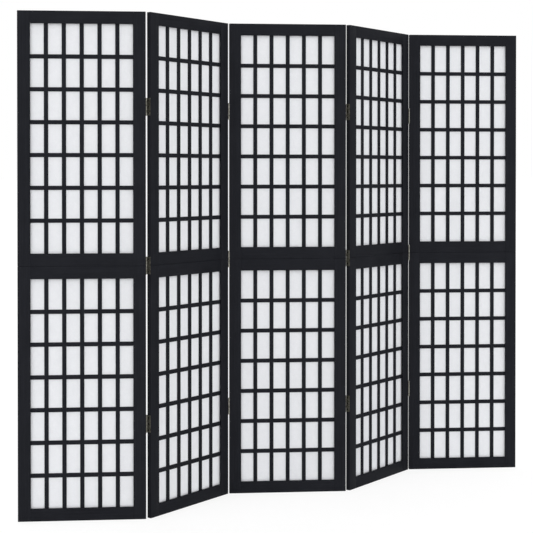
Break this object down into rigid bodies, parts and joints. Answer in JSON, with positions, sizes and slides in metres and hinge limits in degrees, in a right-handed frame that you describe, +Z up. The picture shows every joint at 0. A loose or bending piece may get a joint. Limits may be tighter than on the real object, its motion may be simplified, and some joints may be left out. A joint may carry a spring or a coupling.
{
  "type": "folding room divider",
  "caption": "Folding room divider: black wooden panels of stacked lattice frames backed with white paper, joined in a zigzag by butt hinges so that it folds flat.",
  "frame": {"origin": "on the floor under the middle of the centre panel, which is the middle of the whole row of panels", "axes": "+X along the row from the left end panel to the right one as seen from the lattice side, +Y from the lattice side to the paper side, +Z up; odd panels turn -24.5 degrees about Z and even ones +24.5"},
  "size_m": [2.1002, 0.2022, 1.8],
  "materials": {
    "black_wood": "black satin lacquer",
    "dowel_wood": "bare beech",
    "paper": "white non-woven pulp paper",
    "hinge_brass": "dulled antique brass",
    "screw_steel": "dark bronzed steel"
  },
  "bodies": {
    "panel_1": {"hinge_pins_1_2": "hinge_brass", "panel_1_dowels": "dowel_wood", "panel_1_hinge_screws": "screw_steel", "panel_1_lattice_crossbars": "black_wood", "panel_1_lattice_uprights": "black_wood", "panel_1_left_stiles": "black_wood", "panel_1_lower_paper": "paper", "panel_1_rails": "black_wood", "panel_1_right_hinge_leaves": "hinge_brass", "panel_1_right_stiles": "black_wood", "panel_1_upper_paper": "paper"},
    "panel_2": {"hinge_pins_2_3": "hinge_brass", "panel_2_dowels": "dowel_wood", "panel_2_hinge_screws": "screw_steel", "panel_2_lattice_crossbars": "black_wood", "panel_2_lattice_uprights": "black_wood", "panel_2_left_hinge_leaves": "hinge_brass", "panel_2_left_stiles": "black_wood", "panel_2_lower_paper": "paper", "panel_2_rails": "black_wood", "panel_2_right_hinge_leaves": "hinge_brass", "panel_2_right_stiles": "black_wood", "panel_2_upper_paper": "paper"},
    "panel_3": {"hinge_pins_3_4": "hinge_brass", "panel_3_dowels": "dowel_wood", "panel_3_hinge_screws": "screw_steel", "panel_3_lattice_crossbars": "black_wood", "panel_3_lattice_uprights": "black_wood", "panel_3_left_hinge_leaves": "hinge_brass", "panel_3_left_stiles": "black_wood", "panel_3_lower_paper": "paper", "panel_3_rails": "black_wood", "panel_3_right_hinge_leaves": "hinge_brass", "panel_3_right_stiles": "black_wood", "panel_3_upper_paper": "paper"},
    "panel_4": {"hinge_pins_4_5": "hinge_brass", "panel_4_dowels": "dowel_wood", "panel_4_hinge_screws": "screw_steel", "panel_4_lattice_crossbars": "black_wood", "panel_4_lattice_uprights": "black_wood", "panel_4_left_hinge_leaves": "hinge_brass", "panel_4_left_stiles": "black_wood", "panel_4_lower_paper": "paper", "panel_4_rails": "black_wood", "panel_4_right_hinge_leaves": "hinge_brass", "panel_4_right_stiles": "black_wood", "panel_4_upper_paper": "paper"},
    "panel_5": {"panel_5_dowels": "dowel_wood", "panel_5_hinge_screws": "screw_steel", "panel_5_lattice_crossbars": "black_wood", "panel_5_lattice_uprights": "black_wood", "panel_5_left_hinge_leaves": "hinge_brass", "panel_5_left_stiles": "black_wood", "panel_5_lower_paper": "paper", "panel_5_rails": "black_wood", "panel_5_right_stiles": "black_wood", "panel_5_upper_paper": "paper"}
  },
  "joints": [
    {"name": "fold_1_2", "type": "hinge", "parent": "panel_2", "child": "panel_1", "pos_m": [-0.63157, -0.08448, 0.9], "axis": [0, 0, -1], "range_deg": [-49, 131]},
    {"name": "fold_2_3", "type": "hinge", "parent": "panel_3", "child": "panel_2", "pos_m": [-0.21052, 0.08448, 0.9], "axis": [0, 0, 1], "range_deg": [-49, 131]},
    {"name": "fold_3_4", "type": "hinge", "parent": "panel_3", "child": "panel_4", "pos_m": [0.21052, -0.08448, 0.9], "axis": [0, 0, 1], "range_deg": [-49, 131]},
    {"name": "fold_4_5", "type": "hinge", "parent": "panel_4", "child": "panel_5", "pos_m": [0.63157, 0.08448, 0.9], "axis": [0, 0, -1], "range_deg": [-49, 131]}
  ],
  "couplings": [
    {"joint": "fold_3_4", "follows": "fold_2_3", "ratio": 1}
  ]
}
